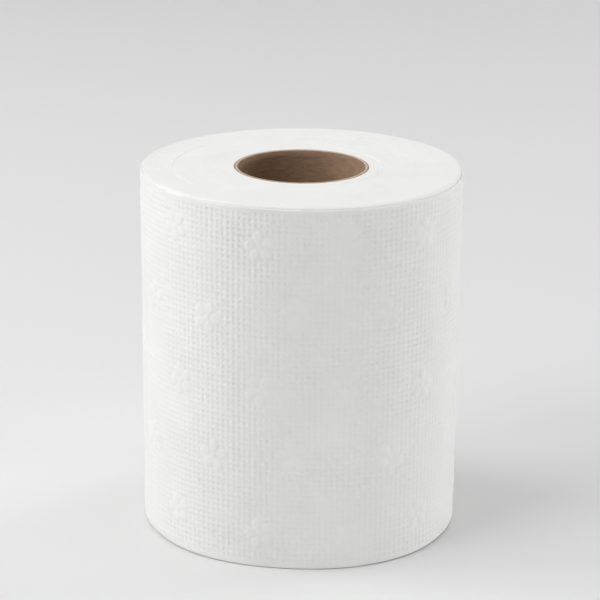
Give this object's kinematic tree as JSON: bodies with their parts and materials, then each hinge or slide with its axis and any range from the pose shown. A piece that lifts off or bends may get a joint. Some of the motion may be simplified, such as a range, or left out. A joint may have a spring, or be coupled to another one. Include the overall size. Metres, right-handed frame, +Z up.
{
  "type": "toilet paper roll",
  "caption": "Roll of white embossed toilet paper wound on a brown cardboard core, standing on its end.",
  "frame": {"origin": "centre of the base that the roll stands on, on the axis of the core", "axes": "+Z up along the core's axis; -Y is the front that the picture shows; the web's loose tail is at the back, on the +Y side"},
  "size_m": [0.0984, 0.0986, 0.1143],
  "materials": {
    "tissue": "matte",
    "board": "matte"
  },
  "bodies": {
    "root": {"tissue_roll": "tissue", "cardboard_core": "board"}
  },
  "joints": []
}
